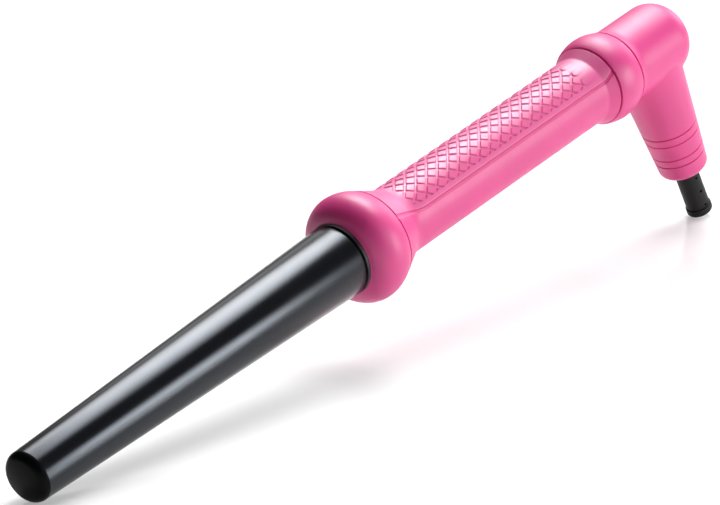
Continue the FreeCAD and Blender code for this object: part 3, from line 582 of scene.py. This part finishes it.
# ---- materials ---------------------------------------------------------------------------------------------
class Nodes:
    """A node tree, with short ways to add and join nodes."""

    def __init__(self, tree):
        self.tree = tree

    def add(self, kind, inputs=None, **settings):
        """A node whose inputs are numbers, colours or other nodes' sockets."""
        node = self.tree.nodes.new(kind)
        for key, value in settings.items():
            setattr(node, key, value)
        for key, value in (inputs or {}).items():
            if isinstance(value, bpy.types.NodeSocket):
                self.tree.links.new(value, node.inputs[key])
            else:
                node.inputs[key].default_value = value
        return node

    def math(self, operation, first, second=0.0, **settings):
        return self.add("ShaderNodeMath", {0: first, 1: second}, operation=operation, **settings).outputs[0]

    def ramp(self, value, start, end, first, last, interpolation="LINEAR"):
        """A change from first to last as value goes from start to end."""
        node = self.add("ShaderNodeMapRange", {
            "Value": value, "From Min": start, "From Max": end, "To Min": first, "To Max": last,
        }, interpolation_type=interpolation)
        return node.outputs["Result"]

    def smooth(self, value, start, end, first, last):
        return self.ramp(value, start, end, first, last, interpolation="SMOOTHSTEP")


class Finish(Nodes):
    """The nodes of a material."""

    def __init__(self, name):
        self.material = bpy.data.materials.new(name)
        self.material.use_nodes = True
        super().__init__(self.material.node_tree)
        self.tree.nodes.clear()
        self.coords = self.add("ShaderNodeTexCoord").outputs["Object"]

    def noise(self, size, detail=3.0, rough=0.5, coords=None):
        """Noise whose features are about size metres across."""
        node = self.add("ShaderNodeTexNoise", {
            "Vector": coords or self.coords, "Scale": 1 / size, "Detail": detail, "Roughness": rough})
        return node.outputs["Fac"]

    def vary(self, noise, least, most):
        """A value that wanders between least and most as the noise does."""
        return self.ramp(noise, NOISE_LOW, NOISE_HIGH, least, most)

    def blend(self, factor, first, second):
        """A colour between two, by a factor from 0 to 1."""
        node = self.add("ShaderNodeMix", data_type="RGBA")
        first_colour, second_colour = [socket for socket in node.inputs if socket.type == "RGBA"]
        first_colour.default_value = (*first, 1)
        second_colour.default_value = (*second, 1)
        self.tree.links.new(factor, node.inputs["Factor"])
        return next(socket for socket in node.outputs if socket.type == "RGBA")

    def bump(self, height, depth):
        return self.add("ShaderNodeBump", {"Height": height, "Distance": depth}).outputs["Normal"]

    def finish(self, **inputs):
        """The finished material, from the inputs of its shader."""
        named = {key.replace("_", " "): value for key, value in inputs.items()}
        shader = self.add("ShaderNodeBsdfPrincipled", named)
        self.add("ShaderNodeOutputMaterial", {"Surface": shader.outputs["BSDF"]})
        return self.material


def shaded(colour, factor):
    return tuple(min(1.0, channel * factor) for channel in colour)


def plastic(name, colour, roughness, grain=0.25, grain_depth=0.004, specular=0.5, ior=1.5):
    """Moulded plastic: a fine spark grain, faint flow marks in the colour and slightly uneven gloss."""
    n = Finish(name)
    flow = n.vary(n.noise(FLOW_SIZE, detail=2.0), 0, 1)
    fine = n.noise(grain * MM, detail=4.0, rough=0.6)
    gloss = n.noise(GLOSS_SIZE, detail=4.0)
    return n.finish(
        Base_Color=n.blend(flow, shaded(colour, 1 - FLOW_TINT), shaded(colour, 1 + FLOW_TINT)),
        Roughness=n.vary(gloss, roughness - GLOSS_SPREAD, roughness + GLOSS_SPREAD),
        Specular_IOR_Level=specular,
        IOR=ior,
        Normal=n.bump(fine, grain_depth * MM))


def metal(name, colour, roughness, brush=0.0):
    """Bare metal with fine marks, drawn out along the wand where it is brushed."""
    n = Finish(name)
    stretch = n.add("ShaderNodeMapping", {"Vector": n.coords, "Scale": (1 - brush, 1, 1)}).outputs["Vector"]
    marks = n.noise(BRUSH_SIZE, coords=stretch)
    return n.finish(
        Base_Color=n.blend(n.noise(TARNISH_SIZE), shaded(colour, TARNISH), colour),
        Metallic=1.0,
        Roughness=n.vary(marks, roughness - METAL_SMOOTHER, roughness + METAL_ROUGHER),
        Normal=n.bump(marks, METAL_RELIEF))


def barrel_coat():
    """Glossy black ceramic coat: a faint orange peel and a few paler specks under the gloss."""
    n = Finish("barrel_coat")
    peel = n.noise(PEEL_SIZE, detail=2.0)
    specks = n.ramp(n.noise(SPECK_SIZE, detail=1.0), SPECK_EDGE, SPECK_MIDDLE, 0, 1)
    handling = n.noise(HANDLING_SIZE, detail=5.0)
    return n.finish(
        Base_Color=n.blend(specks, COAT_BLACK, COAT_SPECK),
        Roughness=n.vary(handling, *COAT_ROUGHNESS),
        Specular_IOR_Level=COAT_SPECULAR,
        Specular_Tint=COAT_TINT,
        Normal=n.bump(peel, PEEL_RELIEF))


def tip_coat():
    """The same black on the barrel's end, where it is duller."""
    n = Finish("tip_coat")
    fine = n.noise(TIP_GRAIN_SIZE)
    rub = n.noise(TIP_RUB_SIZE, detail=4.0)
    return n.finish(
        Base_Color=n.blend(rub, TIP_BLACK, TIP_RUBBED),
        Roughness=n.vary(rub, *TIP_ROUGHNESS),
        Specular_IOR_Level=TIP_SPECULAR,
        Normal=n.bump(fine, TIP_RELIEF))


def board_material():
    """Circuit board: green mask over paler tracks."""
    n = Finish("board")
    weave = n.noise(WEAVE_SIZE)
    tracks = n.ramp(n.noise(TRACK_SIZE, detail=0.0), TRACK_EDGE, TRACK_MIDDLE, 0, 1)
    return n.finish(
        Base_Color=n.blend(tracks, BOARD_MASK, BOARD_TRACK),
        Roughness=n.vary(weave, *BOARD_ROUGHNESS),
        Normal=n.bump(weave, WEAVE_RELIEF))


MATERIALS = {
    "barrel_coat": barrel_coat(),
    "black_plastic": plastic("black_plastic", (0.022, 0.022, 0.025), 0.38),
    "heat_resin": plastic("heat_resin", (0.16, 0.15, 0.14), 0.5),
    "steel": metal("steel", (0.62, 0.62, 0.64), 0.3, brush=0.6),
    "mica": plastic("mica", (0.72, 0.68, 0.58), 0.45, grain=0.6),
    "heater_metal": metal("heater_metal", (0.78, 0.78, 0.8), 0.4, brush=0.9),
    "ceramic": plastic("ceramic", (0.86, 0.84, 0.8), 0.4),
    "film": plastic("film", (0.75, 0.42, 0.1), 0.2),
    "lead_skin": plastic("lead_skin", (0.8, 0.8, 0.78), 0.45),
    "pink_plastic": plastic("pink_plastic", PINK, 0.45, specular=0.46, ior=1.8),
    # The grip panel is the same pink plastic; its paler colour is painted light, the wash of the highlight
    # from above on the handle's top.
    "grip_pink": plastic("grip_pink", PINK_GRIP_PAINTED_WASH, 0.45, specular=0.68, ior=1.8),
    "board": board_material(),
    "component": plastic("component", (0.75, 0.6, 0.1), 0.25),
    "component_black": plastic("component_black", (0.05, 0.05, 0.05), 0.5),
    "connector": plastic("connector", (0.85, 0.85, 0.8), 0.4),
    "brass": metal("brass", (0.8, 0.62, 0.28), 0.25),
    "rocker_plastic": plastic("rocker_plastic", (0.03, 0.03, 0.033), 0.35),
    "window_red": plastic("window_red", (0.6, 0.02, 0.02), 0.12),
    "brush_carbon": plastic("brush_carbon", (0.03, 0.03, 0.03), 0.6),
    "bush_nylon": plastic("bush_nylon", (0.85, 0.84, 0.8), 0.4),
    "guard_black": plastic("guard_black", (0.008, 0.0085, 0.009), 0.55,
                           grain=0.35, grain_depth=0.008, specular=0.25),
}


def dress(obj, material):
    """Give an object one material."""
    obj.data.materials.clear()
    obj.data.materials.append(material)


def dress_nodes():
    """Give each CAD node the material of its slot in the record."""
    for part in frame["record"]["subparts"]:
        obj = nodes[part["node"]]
        material = MATERIALS[part["material_slot"]]
        for slot in obj.material_slots:
            slot.material = material


# ---- floor, light and camera -------------------------------------------------------------------------------
def floor_material():
    """Pale floor, lifted to white where it is seen directly or mirrored, with the object's shadow kept."""
    n = Finish("floor")
    path = n.add("ShaderNodeLightPath").outputs
    seen = n.math("ADD", path["Is Camera Ray"], path["Is Glossy Ray"])
    seen = n.math("ADD", seen, path["Is Transmission Ray"], use_clamp=True)
    return n.finish(
        Base_Color=n.blend(n.noise(FLOOR_GRAIN_SIZE), FLOOR_PALE, FLOOR_PALER),
        Roughness=FLOOR_GLOSS,
        Emission_Color=(1, 1, 1, 1),
        Emission_Strength=n.math("MULTIPLY", seen, FLOOR_LIFT))


def add_floor():
    bm = bmesh.new()
    bmesh.ops.create_grid(bm, x_segments=1, y_segments=1, size=FLOOR_SIZE / 2)
    mesh = bpy.data.meshes.new("floor")
    bm.to_mesh(mesh)
    bm.free()
    obj = bpy.data.objects.new("floor", mesh)
    bpy.context.collection.objects.link(obj)
    dress(obj, floor_material())


def soften_lamp(data):
    """Let a lamp's light fall off smoothly from its middle to its two far ends, as in a softbox."""
    data.use_nodes = True
    n = Nodes(data.node_tree)
    place = n.add("ShaderNodeNewGeometry").outputs["Parametric"]
    across = n.add("ShaderNodeSeparateXYZ", {0: place}).outputs["X"]
    far = n.math("ABSOLUTE", n.math("SUBTRACT", across, LAMP_MIDDLE))
    n.tree.links.new(n.smooth(far, 0.0, LAMP_MIDDLE, 1.0, 0.0), n.tree.nodes["Emission"].inputs["Strength"])


def add_lamp(name, way, distance, aim, across, along, radiance, soft):
    """A rectangular lamp that faces a point of the wand, across measured square to the wand."""
    data = bpy.data.lights.new(name, "AREA")
    data.shape = "RECTANGLE"
    data.size = across
    data.size_y = along
    data.energy = radiance * pi * across * along
    if soft:
        soften_lamp(data)
    way = Vector(way).normalized()
    side = (TOOL.to_3x3() @ Vector((1, 0, 0))).cross(way).normalized()
    turn = Matrix((side, way.cross(side), way)).transposed().to_4x4()
    lamp = bpy.data.objects.new(name, data)
    lamp.matrix_world = Matrix.Translation(Vector(aim) + way * distance) @ turn
    lamp.visible_camera = False
    bpy.context.collection.objects.link(lamp)


def add_world():
    """A studio that is pale round the horizon, and dimmer overhead, on the tip's side and beyond the wand."""
    world = bpy.data.worlds.new("studio")
    world.use_nodes = True
    n = Nodes(world.node_tree)
    n.tree.nodes.clear()
    way = n.add("ShaderNodeTexCoord").outputs["Generated"]
    parts = n.add("ShaderNodeSeparateXYZ", {0: way}).outputs
    height = n.smooth(parts["Z"], 0.0, WORLD_FADE_Z, WORLD_LOW, WORLD_HIGH)
    side = n.smooth(parts["X"], -WORLD_LEFT_X, WORLD_LEFT_X, WORLD_LEFT, 1.0)
    beyond = n.smooth(parts["Y"], -WORLD_BEYOND_Y, WORLD_BEYOND_Y, 1.0, WORLD_BEYOND)
    strength = n.math("MULTIPLY", n.math("MULTIPLY", height, side), beyond)
    light = n.add("ShaderNodeBackground", {"Color": (1, 1, 1, 1), "Strength": strength})
    n.add("ShaderNodeOutputWorld", {"Surface": light.outputs["Background"]})
    bpy.context.scene.world = world


def add_camera():
    """The camera, rolled a little about the way it looks."""
    azimuth, elevation, roll = (radians(v) for v in (CAMERA_AZIMUTH, CAMERA_ELEVATION, CAMERA_ROLL))
    forward = Vector((sin(azimuth) * cos(elevation), cos(azimuth) * cos(elevation), -sin(elevation)))
    level = Vector((cos(azimuth), -sin(azimuth), 0))
    down = forward.cross(level)
    right = level * cos(roll) + down * sin(roll)
    up = level * sin(roll) - down * cos(roll)
    data = bpy.data.cameras.new("camera")
    data.lens = CAMERA_LENS
    data.sensor_width = SENSOR_WIDTH
    camera = bpy.data.objects.new("camera", data)
    place = Vector(LOOK_AT) - forward * CAMERA_DISTANCE
    camera.matrix_world = Matrix.Translation(place) @ Matrix((right, up, -forward)).transposed().to_4x4()
    bpy.context.collection.objects.link(camera)
    bpy.context.scene.camera = camera


# ---- the scene ---------------------------------------------------------------------------------------------
def stand_in(obj, node, slot):
    """Put a drawn skin in the place of a CAD node."""
    dress(obj, MATERIALS[slot])
    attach(obj, "wand")
    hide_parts(node)


def barrel_skin():
    """The barrel, its rounded end in a duller coat than its side."""
    obj = as_object("barrel_skin", turned(barrel_outline(), BARREL_SEGMENTS, closed=False))
    stand_in(obj, "barrel", "barrel_coat")
    obj.data.materials.append(tip_coat())
    back = TOOL.inverted()
    for face in obj.data.polygons:
        face.material_index = int((back @ face.center).x < TIP_COAT_START)


def well_cutter():
    """Round posts that stand out of the handle's underside where the screws go in."""
    bm = bmesh.new()
    for x in WELL_XS:
        place = Matrix.Translation((x, 0, -HANDLE_R))
        bmesh.ops.create_cone(
            bm, cap_ends=True, segments=WELL_SEGMENTS, radius1=WELL_R, radius2=WELL_R,
            depth=WELL_POST_LENGTH, matrix=place)
    return as_object("well_cutter", bm)


def grip_skin():
    """The upper shell with its diamond grip."""
    stand_in(as_object("grip_skin", grip_panel()), "grip_panel", "grip_pink")


def lower_skin():
    """The lower shell with its two screw wells cut through."""
    obj = as_object("lower_skin", lower_shell())
    cutter = well_cutter()
    obj.modifiers.new("wells", "BOOLEAN").object = cutter
    spare_meshes = (obj.data, cutter.data)
    obj.data = bpy.data.meshes.new_from_object(obj.evaluated_get(bpy.context.evaluated_depsgraph_get()))
    obj.modifiers.clear()
    bpy.data.objects.remove(cutter)
    for mesh in spare_meshes:
        bpy.data.meshes.remove(mesh)
    stand_in(obj, "lower_shell", "pink_plastic")


def collar_skin():
    """The rear collar, drawn in to the elbow."""
    skin = turned(collar_outline(), COLLAR_SEGMENTS, closed=True)
    stand_in(as_object("collar_skin", skin), "rear_collar", "pink_plastic")


dress_nodes()
barrel_skin()
grip_skin()
lower_skin()
collar_skin()
add_floor()
for name, settings in LAMPS.items():
    add_lamp(name, **settings)
add_world()
add_camera()
bpy.context.scene.view_settings.view_transform = "Standard"
